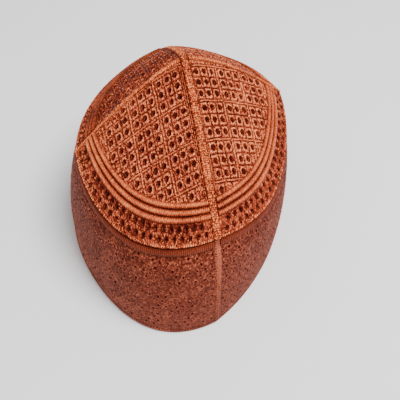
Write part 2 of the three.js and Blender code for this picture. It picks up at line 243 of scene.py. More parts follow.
def from_plan(gore, across, along):
    """The own angle and way of points given across from the middle and along from the top, in plan."""
    way = np.full(across.shape, 0.5)
    for _ in range(30):
        lean = 1 - way ** 1.5
        a = (across - gore.side * APEX_RIGHT * lean) / EDGE_HALF_WIDTH
        b = (along - gore.front * APEX_BACK * (1 - lean)) / (EDGE_HALF_WIDTH * gore.reach)
        own = np.arctan2(a, b)
        target = np.hypot(a, b) / crown_fullness(gore, own, way)
        way = np.clip(lerp(way, target, 0.6), 0.001, 1.2)
    return own, way


def to_plan(gore, points):
    """Points across from the middle and along from the top, in plan."""
    across = gore.side * points[:, 0]
    level = points[:, 1] - SIDE_SKEW * points[:, 0] - ORIGIN_BACK
    return np.stack([across, gore.front * (APEX_BACK + EDGE_SHIFT - level)], -1)


def edge_height(gore, own):
    return BAND_HEIGHT - gore.dip * np.sin(2 * own) ** 2


def band_half_width(t):
    return lerp(RIM_HALF_WIDTH, EDGE_HALF_WIDTH, t) + BAND_BULGE * 4 * t * (1 - t)


def wall_point(gore, own, rise):
    """Points on the side band's outside, at a height above the floor."""
    t = rise / edge_height(gore, own)
    reach = gore.reach * (1 + RIM_FRONT_FLARE * (1 - t)) if gore.front > 0 else gore.reach
    tilt = lerp(gore.tilt_rim, gore.tilt_edge, t)
    factor = fullness(own, lerp(gore.round_rim, gore.round_edge, t), tilt)
    x = gore.side * band_half_width(t) * factor * np.sin(own)
    y = -gore.front * band_half_width(t) * reach * factor * np.cos(own) + EDGE_SHIFT * t
    return np.stack([x, y + SIDE_SKEW * x + ORIGIN_BACK, rise + 0 * x], -1)


def level_point(gore, own, rise, out):
    """The same, moved outwards level with the floor."""
    step = 1e-3
    along = wall_point(gore, own + step, rise) - wall_point(gore, own - step, rise)
    normal = unit(np.stack([along[..., 1], -along[..., 0], 0 * along[..., 0]], -1))
    point = wall_point(gore, own, rise)
    middle = point - np.array([0, ORIGIN_BACK, 0])
    normal *= np.sign((normal * middle).sum(-1, keepdims=True))
    return point + normal * np.asarray(out)[..., None]


def seam_angle(distance, reach_across):
    """Own angle of a place beside a seam, at a distance from the seam's middle."""
    angle = np.arcsin(np.minimum(1, distance / reach_across))
    for _ in range(6):
        angle = np.arcsin(np.minimum(1, distance / (reach_across * fullness(angle, ROUND_TOP))))
    return angle


def own_angle(gore, share, way):
    """Own angle for a share of the gore's cloth, 0 beside the long seam to 1 beside its side ridge."""
    start = seam_angle(SEAM_CLEAR, EDGE_HALF_WIDTH * way)
    end = QUARTER - seam_angle(RIDGE_CLEAR, EDGE_HALF_WIDTH * gore.reach * way)
    return lerp(start, end, share)


# Meshes

# The tone paints shade into deep places and highlights onto raised thread, over the thread's uneven colour.
class Shell:
    """Points in millimetres, triangles, and each point's tone, from 0 for deep to 1 for raised thread."""

    def __init__(self, points, faces, tone):
        self.points = np.asarray(points, float).reshape(-1, 3)
        self.faces = np.asarray(faces, int)
        self.tone = np.clip(np.broadcast_to(tone, (len(self.points),)), 0, 1)


def inside(points, loop):
    """Which points lie inside a closed line."""
    found = np.zeros(len(points), bool)
    x, y = points[:, 0], points[:, 1]
    for (ax, ay), (bx, by) in zip(loop, np.roll(loop, -1, 0)):
        if ay == by:
            continue
        crosses = (ay > y) != (by > y)
        found ^= crosses & (x < (bx - ax) * (y - ay) / (by - ay) + ax)
    return found


def distance_to_line(points, line):
    """Distance of points in a plane to the nearest part of a line."""
    best = np.full(len(points), np.inf)
    for a, b in zip(line[:-1], line[1:]):
        run = b - a
        length = max(run @ run, 1e-12)
        t = np.clip(((points - a) @ run) / length, 0, 1)
        best = np.minimum(best, np.linalg.norm(points - a - t[:, None] * run, axis=1))
    return best


def distance_to_loop(points, loop):
    return distance_to_line(points, np.vstack([loop, loop[:1]]))


def pattern_mesh(border, holes, points, clear=0.3):
    """Triangulates the inside of a closed border round the holes, through the given points.

    Also gives a number for each vertex, 0 or that of the hole it borders on.
    """
    points = points[inside(points, border)]
    points = points[distance_to_loop(points, border) > clear]
    blocks, edges, ring_of, start = [border], [], [np.full(len(border), -1)], 0
    for number, loop in enumerate([border, *holes]):
        count = len(loop)
        edges += [(start + i, start + (i + 1) % count) for i in range(count)]
        if number:
            blocks.append(loop)
            ring_of.append(np.full(count, number))
        start += count
    blocks.append(points)
    ring_of = np.concatenate([*ring_of, np.zeros(len(points), int)])
    flat = np.concatenate(blocks)
    made = delaunay_2d_cdt([Vector(p) for p in flat], edges, [], 0, 1e-4)
    verts = np.array([tuple(v) for v in made[0]])
    faces = np.array(made[2])
    tag = np.array([ring_of[source[0]] if source else 0 for source in made[3]])
    corners = tag[faces]
    in_hole = (corners[:, 0] > 0) & (corners == corners[:, :1]).all(1)
    keep = ~in_hole & inside(verts[faces].mean(1), border)
    faces = faces[keep]
    used = np.unique(faces)
    renumber = np.zeros(len(verts), int)
    renumber[used] = np.arange(len(used))
    return verts[used], renumber[faces], np.maximum(tag[used], 0)


def surface(place, u, v, step=0.05):
    """Points, outward directions, and whether u then v turns outwards."""
    point = place(u, v)
    du = place(u + step, v) - place(u - step, v)
    dv = place(u, v + step) - place(u, v - step)
    normal = unit(np.cross(du, dv))
    outward = point - np.array([0, ORIGIN_BACK, 0])
    outward[..., 2] = 20
    sign = np.where((normal * outward).sum(-1, keepdims=True) < 0, -1.0, 1.0)
    return point, normal * sign, sign.mean() > 0


def cloth(verts, faces, rims, holes, place, lift, tone, wall):
    """A closed sheet over a surface: lifted outside, plain inside, with funnels for its holes."""
    point, normal, outward = surface(place, verts[:, 0], verts[:, 1])
    outer = point + normal * lift[:, None]
    narrow = verts.copy()
    if holes:
        middles = np.array([hole.mean(0) for hole in holes])
        on_rim = rims > 0
        centre = middles[rims[on_rim] - 1]
        narrow[on_rim] = centre + (verts[on_rim] - centre) * FUNNEL
    point, normal, _ = surface(place, narrow[:, 0], narrow[:, 1])
    inner = point - normal * wall
    count = len(verts)
    if not outward:
        faces = faces[:, ::-1]
    directed = np.concatenate([faces[:, [0, 1]], faces[:, [1, 2]], faces[:, [2, 0]]])
    key = directed[:, 0] * count + directed[:, 1]
    back = directed[:, 1] * count + directed[:, 0]
    rim = directed[~np.isin(key, back)]
    a, b = rim[:, 0], rim[:, 1]
    walls = np.concatenate([np.stack([b, a, a + count], -1), np.stack([b, a + count, b + count], -1)])
    every = np.concatenate([faces, faces[:, ::-1] + count, walls])
    # The eyelets' borders and funnels get the deepest tone, and the inside INNER_TONE, as painted shade
    tones = [np.where(rims > 0, 0.0, tone), np.where(rims > 0, 0.0, INNER_TONE)]
    return Shell(np.concatenate([outer, inner]), every, np.concatenate(tones))


def loft(sections, tone, closed=False):
    """A closed solid from outlines joined in turn, given as an array of stations by outline points."""
    stations, count, _ = sections.shape
    spans = stations if closed else stations - 1
    i = np.repeat(np.arange(spans), count)
    j = np.tile(np.arange(count), spans)
    k = (j + 1) % count
    near, far = i * count, ((i + 1) % stations) * count
    quads = np.stack([near + j, near + k, far + k, far + j], -1)
    faces = np.concatenate([quads[:, [0, 1, 2]], quads[:, [0, 2, 3]]])
    if not closed:
        fan = np.arange(1, count - 1)
        last = (stations - 1) * count
        near_cap = np.stack([0 * fan, fan + 1, fan], -1)
        far_cap = last + np.stack([0 * fan, fan, fan + 1], -1)
        faces = np.concatenate([faces, near_cap, far_cap])
    points = sections.reshape(-1, 3)
    corners = points[faces]
    volume = np.einsum("ij,ij->i", corners[:, 0], np.cross(corners[:, 1], corners[:, 2])).sum()
    if volume < 0:
        faces = faces[:, ::-1]
    return Shell(points, faces, np.broadcast_to(tone, sections.shape[:2]).ravel())


def add_piece(name, shells, material, nodes):
    """Joins shells to one object that rides on the cap and stands for the CAD nodes."""
    starts = np.cumsum([0] + [len(s.points) for s in shells])
    points = np.concatenate([s.points for s in shells]) * MM
    faces = np.concatenate([s.faces + start for s, start in zip(shells, starts)])
    mesh = bpy.data.meshes.new(name)
    mesh.vertices.add(len(points))
    mesh.vertices.foreach_set("co", points.astype(np.float32).ravel())
    mesh.loops.add(faces.size)
    mesh.loops.foreach_set("vertex_index", faces.astype(np.int32).ravel())
    mesh.polygons.add(len(faces))
    mesh.polygons.foreach_set("loop_start", np.arange(0, faces.size, 3, dtype=np.int32))
    mesh.update(calc_edges=True)
    tone = mesh.attributes.new("tone", "FLOAT", "POINT")
    tone.data.foreach_set("value", np.concatenate([s.tone for s in shells]).astype(np.float32))
    mesh.shade_smooth()
    mesh.set_sharp_from_angle(angle=math.radians(50))
    mesh.materials.append(material)
    piece = bpy.data.objects.new(name, mesh)
    bpy.context.scene.collection.objects.link(piece)
    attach(piece, "root")
    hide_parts(*nodes)


# Materials

def srgb(red, green, blue):
    """A colour given as 0 to 255 on the screen, made linear."""
    def linear(c):
        c /= 255
        return c / 12.92 if c <= 0.04045 else ((c + 0.055) / 1.055) ** 2.4
    return (linear(red), linear(green), linear(blue), 1)


THREAD_SHEEN = srgb(255, 170, 100)
PATCH_SIZE = 13.0
FIBRE_SIZE = 0.3
STITCH_MEAN = 0.56  # of the larger of two noises
PATCH_MEAN = 0.5


def thread_material(name, deep, middle, light, stitch=(0.6, 2.2), fleck=0.8, patch=0.5, relief=0.3,
                    rough=0.6, gloss=0.2):
    """Thread-covered cloth: colour by tone and by small stitches lying across each other, in relief."""
    material = bpy.data.materials.new(name)
    material.use_nodes = True
    nodes, links = material.node_tree.nodes, material.node_tree.links
    nodes.clear()
    output = nodes.new("ShaderNodeOutputMaterial")
    shader = nodes.new("ShaderNodeBsdfPrincipled")
    shader.inputs["Roughness"].default_value = rough
    shader.inputs["Specular IOR Level"].default_value = gloss
    shader.inputs["Specular Tint"].default_value = THREAD_SHEEN
    links.new(shader.outputs[0], output.inputs["Surface"])
    where = nodes.new("ShaderNodeTexCoord")
    tone = nodes.new("ShaderNodeAttribute")
    tone.attribute_name = "tone"

    def noise(short_mm, long_mm, detail, turn=(0, 0, 0)):
        mapping = nodes.new("ShaderNodeMapping")
        mapping.inputs["Rotation"].default_value = turn
        mapping.inputs["Scale"].default_value = [1 / (size * MM) for size in (short_mm, long_mm, short_mm)]
        links.new(where.outputs["Object"], mapping.inputs["Vector"])
        node = nodes.new("ShaderNodeTexNoise")
        node.inputs["Scale"].default_value = 1
        node.inputs["Detail"].default_value = detail
        links.new(mapping.outputs["Vector"], node.inputs["Vector"])
        return node.outputs["Fac"]

    def math_node(operation, a, b):
        node = nodes.new("ShaderNodeMath")
        node.operation = operation
        for socket, value in zip(node.inputs, (a, b)):
            if isinstance(value, (int, float)):
                socket.default_value = value
            else:
                links.new(value, socket)
        return node.outputs[0]

    short, long = stitch
    one_way = noise(short, long, 2.0, (0.5, 0.4, 0.7))
    other_way = noise(short, long, 2.0, (-0.5, 0.4, -0.8))
    stitches = math_node("MAXIMUM", one_way, other_way)
    patches = noise(PATCH_SIZE, PATCH_SIZE, 2.0)
    # The stitches are lighter where their relief stands higher: partly painted highlight, partly uneven
    # thread.
    stitch_part = math_node("MULTIPLY", math_node("SUBTRACT", stitches, STITCH_MEAN), fleck * 4)
    patch_part = math_node("MULTIPLY", math_node("SUBTRACT", patches, PATCH_MEAN), patch)
    level = math_node("ADD", tone.outputs["Fac"], math_node("ADD", stitch_part, patch_part))

    # The ramp runs from the painted shade's colour (deep) to the painted highlight's colour (light).
    ramp = nodes.new("ShaderNodeValToRGB")
    ramp.color_ramp.elements[0].position = 0.0
    ramp.color_ramp.elements[0].color = deep
    ramp.color_ramp.elements[1].position = 1.0
    ramp.color_ramp.elements[1].color = light
    ramp.color_ramp.elements.new(0.5).color = middle
    links.new(level, ramp.inputs["Fac"])
    links.new(ramp.outputs["Color"], shader.inputs["Base Color"])

    fibres = noise(FIBRE_SIZE, FIBRE_SIZE, 1.0)
    height = math_node("ADD", stitches, math_node("MULTIPLY", fibres, 0.3))
    relief_node = nodes.new("ShaderNodeBump")
    relief_node.inputs["Strength"].default_value = 1.0
    relief_node.inputs["Distance"].default_value = relief * MM
    links.new(height, relief_node.inputs["Height"])
    links.new(relief_node.outputs["Normal"], shader.inputs["Normal"])
    return material


COPPER = thread_material("copper_thread", srgb(56, 8, 9), srgb(161, 62, 39), srgb(254, 152, 98))
SATIN = thread_material("satin_thread", srgb(60, 8, 8), srgb(177, 73, 41), srgb(254, 153, 92),
                        stitch=(0.6, 1.6), fleck=0.35, relief=0.2, rough=0.42, gloss=0.35)
KNIT = thread_material("knit_thread", srgb(64, 8, 6), srgb(180, 74, 42), srgb(254, 154, 90))
RIBBED = thread_material("ribbed_thread", srgb(48, 8, 6), srgb(102, 35, 22), srgb(150, 66, 42), fleck=0.4)
BAND = thread_material("band_thread", srgb(56, 9, 6), srgb(114, 43, 30), srgb(200, 110, 80),
                       stitch=(0.5, 1.8), fleck=0.72, patch=0.4, relief=0.35, rough=0.7)


# Crown lattice

def cell_place(value, first, pitch, period):
    """Whether a coordinate lies in a cell, its offset from the cell's middle, and its share of a strip."""
    shifted = value - first + pitch / 2
    group = np.floor(shifted / period)
    local = shifted - group * period
    in_cell = local < GROUP_SIZE * pitch
    cell = np.minimum(np.floor(local / pitch), GROUP_SIZE - 1)
    offset = local - (cell + 0.5) * pitch
    strip = np.clip((local - GROUP_SIZE * pitch) / (period - GROUP_SIZE * pitch), 0, 1)
    return in_cell, offset, strip


def grid_lines(first, pitch, period, limit):
    """Coordinates of the lines that the lattice's relief follows."""
    lines = []
    cells = GROUP_SIZE * pitch
    for group in range(-1, 7):
        base = first - pitch / 2 + group * period
        for cell in range(GROUP_SIZE):
            lines += [base + cell * pitch + offset for offset in (0, LINE_CLEAR, pitch - LINE_CLEAR)]
        lines += [base + cells + share * (period - cells) for share in (0, 0.25, 0.5, 0.75)]
    return [line for line in lines if 0 < line < limit]


def lattice_centres(gore, border, sides):
    """Middles of the gore's eyelets, in groups of three by three, clear of the border and the thin cords."""
    centres = []
    for i in range(GROUPS * GROUP_SIZE):
        for j in range(GROUPS * GROUP_SIZE):
            across = gore.first[0] + (i // GROUP_SIZE) * GROUP_ACROSS + (i % GROUP_SIZE) * EYELET_ACROSS
            along = gore.first[1] + (j // GROUP_SIZE) * GROUP_ALONG + (j % GROUP_SIZE) * EYELET_ALONG
            centres.append((across, along))
    centres = np.array(centres)
    centres = centres[inside(centres, border)]
    centres = centres[distance_to_loop(centres, border) > HOLE_CLEAR]
    for line, width in sides:
        centres = centres[distance_to_line(centres, line) > width + SIDE_CORD_CLEAR]
    return centres + chance.normal(0, 0.1, centres.shape)


def ellipse(centre, wide, long, count, turn=0.0):
    angle = np.arange(count) * 2 * math.pi / count + turn
    return np.stack([centre[0] + wide / 2 * np.cos(angle), centre[1] + long / 2 * np.sin(angle)], -1)


def lattice_relief(gore, u, v, centres, sides):
    """Height in millimetres and tone of the lattice at points in plan."""
    waver_u = 0.11 * np.sin(0.55 * v + 0.8 * np.sin(0.3 * u))
    waver_v = 0.11 * np.sin(0.7 * u + 0.9 * np.sin(0.25 * v))
    in_x, x, strip_x = cell_place(u + waver_u, gore.first[0], EYELET_ACROSS, GROUP_ACROSS)
    in_y, y, strip_y = cell_place(v + waver_v, gore.first[1], EYELET_ALONG, GROUP_ALONG)
    from_side = np.where(in_x, EYELET_ACROSS / 2 - np.abs(x), FAR_GAP)
    from_end = np.where(in_y, EYELET_ALONG / 2 - np.abs(y), FAR_GAP)
    from_cell = np.minimum(from_side, from_end)
    stitched = 0.75 + 0.3 * np.cos(2 * math.pi * (u + v) / 1.9)
    groove = bump(from_cell, 0.4) * stitched
    frame_line = bump(from_cell - 1.05, 0.45) * lerp(1.0, 0.4, gore.worn)
    lift = (0.1 - 0.7 * groove + 0.3 * frame_line) * gore.crisp
    # Painted shade in the grooves between cells, painted highlight on the raised frames
    tone = 0.43 + (0.4 * frame_line - 0.6 * groove - 0.04) * gore.crisp
    # The strips' cords: painted highlight on top, painted shade at their sides
    for inside_cell, strip in ((in_x, strip_x), (in_y, strip_y)):
        cord = np.sin(math.pi * strip) * gore.crisp
        lift = np.where(inside_cell, lift, 1.1 * cord - 0.5 * gore.crisp)
        tone = np.where(inside_cell, tone, 0.43 + (0.8 * cord - 0.48) * gore.crisp)
    gap, turn = eyelet_gap(u, v, centres, HOLE_WIDE, HOLE_LONG)
    rim = bump(gap - 0.4, 0.33)
    stitch = 0.18 * np.cos(9 * turn) * rim
    lift = lift + 0.35 * rim + stitch
    # Painted highlight on the eyelets' raised rims and stitches, painted shade at their borders
    tone = tone + lerp(0.28, 0.2, gore.worn) * rim * gore.crisp - 0.6 * bump(gap, 0.3) + stitch
    points = np.stack([u, v], -1)
    for line, width in sides:
        distance = distance_to_line(points, line)
        cords = 0.5 - 0.5 * np.cos(2 * math.pi * distance / SIDE_CORD)
        lift = np.where(distance < width, -0.4 + 0.9 * cords, lift)
        # The thin cords: painted highlight on top, painted shade between them
        tone = np.where(distance < width, 0.85 * cords - 0.08, tone)
    rough = chance.normal(0, 1, len(u))
    # The gore's shade is painted shade over the whole lattice; the random part is uneven thread
    return lift + 0.09 * rough, tone - gore.shade + lerp(0.22, 0.34, gore.worn) * rough


def eyelet_gap(u, v, centres, wide, long):
    """Distance outside the nearest eyelet's border, and the direction from its middle."""
    gap = np.full(len(u), 99.0)
    turn = np.zeros(len(u))
    for (cx, cy), a, b in zip(centres, *np.broadcast_arrays(wide, long, centres[:, 0])[:2]):
        dx, dy = (u - cx) / (a / 2), (v - cy) / (b / 2)
        reach = (np.hypot(dx, dy) - 1) * (a + b) / 4
        nearer = reach < gap
        gap = np.where(nearer, reach, gap)
        turn = np.where(nearer, np.arctan2(dy, dx), turn)
    return gap, turn


def gore_border(gore, start, end):
    """The closed outline of a stretch of a gore, as own angles and ways."""
    ways = np.linspace(start, end, 70)
    shares = np.linspace(0, 1, 90)

    def side(share, way):
        return np.stack([own_angle(gore, share, way), way + 0 * share], -1)

    far, near = side(shares, end)[1:], side(shares, start)[::-1][1:-1]
    return np.concatenate([side(0.0, ways), far, side(1.0, ways)[::-1][1:], near])


def spaced(loop, step):
    """The same closed line with points about a step apart."""
    closed = np.vstack([loop, loop[:1]])
    length = lengths_along(closed)
    where = np.linspace(0, length[-1], max(8, int(length[-1] / step)), endpoint=False)
    return np.stack([np.interp(where, length, closed[:, k]) for k in (0, 1)], -1)


def fine_points(border, step, shake):
    """Points about a step apart all over the box of a border, in staggered rows."""
    low, high = border.min(0), border.max(0)
    u, v = np.meshgrid(np.arange(low[0], high[0], step), np.arange(low[1], high[1], step * 0.87))
    u = u + step / 2 * (np.arange(len(u)) % 2)[:, None]
    points = np.stack([u.ravel(), v.ravel()], -1)
    return points + chance.uniform(-shake, shake, points.shape)


def lattice_shell(gore):
    """The gore's cloth inside the base cords, with its eyelets and grid of raised threads."""
    def place(u, v):
        own, way = from_plan(gore, u, v)
        return crown(gore, own, way)

    rim = gore_border(gore, LATTICE_START, LATTICE_END)
    border = spaced(to_plan(gore, crown(gore, rim[:, 0], rim[:, 1])), 0.7)
    ways = np.linspace(LATTICE_START, LATTICE_END, 60)
    sides = []
    for share, cords in ((0.0, gore.seam_cords), (1.0, RIDGE_CORDS)):
        seam_side = crown(gore, own_angle(gore, share, ways), ways)
        sides.append((to_plan(gore, seam_side), cords * SIDE_CORD))
    centres = lattice_centres(gore, border, sides)
    holes, points = [], []
    for centre in centres:
        wide, long = HOLE_WIDE * chance.uniform(*HOLE_SPREAD), HOLE_LONG * chance.uniform(*HOLE_SPREAD)
        holes.append(ellipse(centre, wide, long, HOLE_SIDES))
        points.append(ellipse(centre, HOLE_WIDE + 0.8, HOLE_LONG + 0.8, 18, 0.1))
        points.append(ellipse(centre, HOLE_WIDE + 1.6, HOLE_LONG + 1.6, 20, 0.2))
    limit_u, limit_v = border.max(0)
    step_u, step_v = np.arange(0.2, limit_u, FINE_STEP), np.arange(0.2, limit_v, FINE_STEP)
    for line in grid_lines(gore.first[0], EYELET_ACROSS, GROUP_ACROSS, limit_u):
        points.append(np.stack([0 * step_v + line, step_v], -1))
    for line in grid_lines(gore.first[1], EYELET_ALONG, GROUP_ALONG, limit_v):
        points.append(np.stack([step_u, 0 * step_u + line], -1))
    points.append(fine_points(border, FINE_STEP, 0.13))
    points = np.concatenate(points)
    gap, _ = eyelet_gap(points[:, 0], points[:, 1], centres, HOLE_WIDE, HOLE_LONG)
    points = points[gap > 0.3]
    points = points[distance_to_loop(points, border) > 0.9]
    points = np.vstack([points, *[inset_loop(border, inset) for inset in BORDER_INSETS]])
    verts, faces, rims = pattern_mesh(border, holes, points, 0.2)
    lift, tone = lattice_relief(gore, verts[:, 0], verts[:, 1], centres, sides)
    return cloth(verts, faces, rims, holes, place, lift, tone, CROWN_WALL)


def inset_loop(loop, inset):
    """A closed line moved inwards; points that come too near the line again are left out."""
    run = np.roll(loop, -1, 0) - np.roll(loop, 1, 0)
    normal = unit(np.stack([-run[:, 1], run[:, 0]], -1))
    area = 0.5 * np.sum(loop[:, 0] * np.roll(loop[:, 1], -1) - np.roll(loop[:, 0], -1) * loop[:, 1])
    moved = loop + normal * inset * (1 if area > 0 else -1)
    return moved[distance_to_loop(moved, loop) > inset * 0.97]


# Belt between the cords and the crown's edge

def across_belt(way):
    """Millimetres across the belt, laid flat."""
    return (way - BELT_START) / (1 - BELT_START) * BELT_ACROSS


def belt_eyelets(gore, border):
    """Middles and sizes of the eyelets in the belt's staggered rows."""
    centres, sizes = [], []
    shake = 0.25 * gore.belt_worn
    for number, row in enumerate(BELT_ROWS):
        v = across_belt(row)
        for i in range(BELT_COUNT):
            u = (i + BELT_FIRST + 0.5 * number) * BELT_PITCH
            centres.append((u + chance.normal(0, shake), v + chance.normal(0, shake)))
            sizes.append(gore.belt_holes[number] * chance.uniform(0.8, 1.05))
    centres, sizes = np.array(centres), np.array(sizes)
    clear = inside(centres, border) & (distance_to_loop(centres, border) > HOLE_CLEAR)
    return centres[clear], sizes[clear]


def belt_shells(gore):
    """The belt's cloth with its eyelets, and the short threads round them."""
    def place(u, v):
        return crown(gore, u / BELT_PITCH * BELT_STEP, BELT_START + (1 - BELT_START) * v / BELT_ACROSS)

    rim = gore_border(gore, BELT_START, 1.0)
    border = spaced(np.stack([rim[:, 0] / BELT_STEP * BELT_PITCH, across_belt(rim[:, 1])], -1), 0.8)
    centres, sizes = belt_eyelets(gore, border)
    holes = [rough_hole(c, size) for c, size in zip(centres, sizes)]
    points = [ellipse(c, size + extra, size + extra, 16, extra)
              for c, size in zip(centres, sizes) for extra in (0.8, 1.6)]
    fine = fine_points(border, FINE_STEP, 0.14)
    gap, _ = eyelet_gap(fine[:, 0], fine[:, 1], centres, sizes, sizes)
    points.append(fine[gap > 0.9])
    verts, faces, rims = pattern_mesh(border, holes, np.concatenate(points), 0.25)
    u, v = verts[:, 0], verts[:, 1]
    gap, turn = eyelet_gap(u, v, centres, sizes, sizes)
    rays = np.abs(np.cos(2.5 * turn + 0.8)) ** 4
    rim_part = bump(gap - 0.5, 0.35)
    star = rays * bump(gap - 1.2, 0.9)
    rough = chance.normal(0, 1, len(u))
    lift = 0.05 + 0.25 * rim_part + 0.3 * star + 0.12 * rough
    # Painted highlight on the eyelets' raised rims and star threads, painted shade at their borders; rough is
    # uneven thread
    threads = 0.25 * rim_part + (0.25 * star + 0.28 * rough) * gore.belt_worn
    tone = gore.belt_tone + threads - 0.8 * bump(gap, 0.4)
    sheet = cloth(verts, faces, rims, holes, place, lift, tone, CROWN_WALL)
    return [sheet, *belt_threads(centres, sizes, border, place, gore.belt_worn)]


def belt_threads(centres, sizes, border, place, worn):
    """Short raised threads that fan out round the belt's eyelets."""
    along = np.linspace(0, 1, 4)
    shape = (len(centres), THREADS_ROUND)
    turn = np.arange(THREADS_ROUND) * 2 * math.pi / THREADS_ROUND
    turn = turn + chance.uniform(0, math.pi, (len(centres), 1))
    turn = (turn + chance.normal(0, 0.16, shape)).ravel()
    start = np.repeat(sizes / 2 + 0.1, THREADS_ROUND)
    reach = start[:, None] + chance.uniform(0.9, 2.1, shape).ravel()[:, None] * along
    u = np.repeat(centres[:, 0], THREADS_ROUND)[:, None] + reach * np.cos(turn)[:, None]
    v = np.repeat(centres[:, 1], THREADS_ROUND)[:, None] + reach * np.sin(turn)[:, None]
    ends = np.stack([u[:, -1], v[:, -1]], -1)
    clear = inside(ends, border) & (distance_to_loop(ends, border) > 0.4)
    point, normal, _ = surface(place, u[clear], v[clear])
    ahead = unit(np.gradient(point, axis=1))
    aside = np.cross(normal, ahead)
    arch = 0.2 + 0.8 * worn * np.sin(math.pi * along)[:, None]
    ring = [point + normal * (arch + out) + aside * off for off, out in THREAD_SECTION]
    return [loft(sections, 0.4 + 0.9 * worn * chance.random()) for sections in np.stack(ring, 2)]


def rough_hole(centre, size):
    """An eyelet with an uneven border."""
    sides = 10
    wide = size * chance.uniform(0.8, 1.15, sides)
    return ellipse(centre, wide, wide, sides)


def cord_bed(gore):
    """The plain cloth under the cords, painted deep as the shade between them."""
    shares = np.linspace(0, 1, 60)
    ways = np.array([LATTICE_END - 0.002, 0.84, 0.87, BELT_START + 0.002])
    rings = []
    for share in shares:
        point = crown(gore, own_angle(gore, share, ways), ways)
        under = point - np.array([0, 0, CROWN_WALL])
        rings.append(np.concatenate([point, under[::-1]]))
    return loft(np.array(rings), 0.08)


def edge_beads(gore):
    """The beaded line along the crown's edge: painted highlight on each bead's swell, painted shade between
    beads.
    """
    count = BEADS * BEAD_STATIONS
    own = own_angle(gore, np.linspace(0, 1, count + 1), 1.0)
    centre = crown(gore, own, BEAD_WAY)
    ahead = unit(np.gradient(centre, axis=0))
    inward = unit(crown(gore, own, 0.96) - centre)
    up = upward(np.cross(ahead, inward))
    size = np.repeat(chance.uniform(0.35, 1.1, BEADS + 1), BEAD_STATIONS)[:count + 1]
    wave = np.abs(np.sin(math.pi * np.arange(count + 1) / BEAD_STATIONS))
    swell = 0.5 + 0.45 * wave * size
    turns = np.linspace(0, 2 * math.pi, BEAD_TURNS + 1)[None, :-1, None]
    ring = np.cos(turns) * inward[:, None] + np.sin(turns) * up[:, None]
    sections = centre[:, None] + BEAD_RADIUS * swell[:, None, None] * ring
    return loft(sections, (0.12 + 0.9 * wave * size)[:, None])


def base_cords(gore):
    """Three fat satin cords, wrapped with slanting thread."""
    shells = []
    turns = np.linspace(0, math.pi, 9)
    shares = np.linspace(0, 1, CORD_STATIONS)
    for way in CORD_PLACES:
        above, below = way - CORD_PITCH / 2, way + CORD_PITCH / 2
        foot = crown(gore, own_angle(gore, shares, way), way)
        aside = crown(gore, own_angle(gore, shares, below), below)
        aside = aside - crown(gore, own_angle(gore, shares, above), above)
        half = np.linalg.norm(aside, axis=1, keepdims=True) / 2
        aside /= 2 * half
        up = upward(unit(np.cross(np.gradient(foot, axis=0), aside)))
        run = lengths_along(foot)
        drift = smooth(chance.normal(0, 1.5, len(run)), 8)
        wrap = np.sin(2 * math.pi * (run[:, None] / WRAP_PITCH + WRAP_SLANT * turns[None, :] / math.pi)
                      + drift[:, None])
        size = 1 + 0.05 * wrap
        sections = (foot[:, None] - 0.3 * up[:, None]
                    + (half * 0.92)[:, None] * (np.cos(turns) * size)[..., None] * aside[:, None]
                    + (CORD_HEIGHT + 0.5) * (np.sin(turns) * size)[..., None] * up[:, None])
        # Painted highlight on the cords' tops, painted shade at their sides, most on the lower side
        lower_side_shade = 0.35 * np.maximum(np.cos(turns), 0)
        # thread is the wrap's colour and uneven thread, less the gore's painted shade taken 1.7 times
        thread = 0.17 * wrap + 0.11 * chance.normal(0, 1, wrap.shape) - 1.7 * gore.shade
        shells.append(loft(sections, (0.68 * np.sin(turns) ** 1.4 - lower_side_shade)[None, :] + thread))
    return shells


# Seams

def strip(points, ups, asides, width, wall, relief, tone):
    """A seam strip: relief and tone are arrays of stations by columns across."""
    across = np.linspace(-1, 1, relief.shape[1])
    top = (points[:, None] + asides[:, None] * (across * width / 2)[None, :, None]
           + ups[:, None] * relief[..., None])
    ends = [(1, 0.0), (1, -wall), (-1, -wall), (-1, 0.0)]
    under = np.stack([points + asides * s * width / 2 + ups * h for s, h in ends], 1)
    sections = np.concatenate([top, under], 1)
    # The strip's underside is painted deep, as shade
    shade = np.concatenate([tone, np.full((len(points), 4), 0.1)], 1)
    return loft(sections, shade)


def resample(points, step):
    """A line with its points about a step apart, and the length along it at each."""
    length = lengths_along(points)
    where = np.linspace(0, length[-1], int(length[-1] / step) + 1)
    return np.stack([np.interp(where, length, points[:, k]) for k in range(3)], -1), where


def smooth(values, passes):
    """Evens out neighbouring rows, a little more with each pass."""
    for _ in range(passes):
        values[1:-1] = (values[:-2] + 2 * values[1:-1] + values[2:]) / 4
    return values


def knit_relief(run, columns, rib, slant, proud, depth, rough, border, dark):
    """Two rows of slanting, uneven stitches that meet in the middle, with a groove along both borders."""
    across = np.linspace(-1, 1, columns)[None, :]
    drift = smooth(chance.normal(0, 1.2, len(run)), 6)
    wave = np.cos(2 * math.pi * (run[:, None] / rib + slant * np.abs(across)) + drift[:, None])
    grain = smooth(chance.normal(0, rough, (len(run), columns)), 1)
    crown_line = 1 - across ** 2
    edge = bump(1 - np.abs(across), border)
    middle = bump(across, 0.1)
    # Painted highlight on the stitches' crests, painted shade in the middle and in the border grooves; grain
    # is uneven thread
    relief = proud + 0.35 * crown_line + depth * wave + 0.14 * grain - 0.8 * edge * proud - 0.15 * middle
    tone = np.clip(0.46 + 0.24 * wave + 0.3 * grain - dark * edge - 0.12 * middle, 0, 1)
    return relief, tone


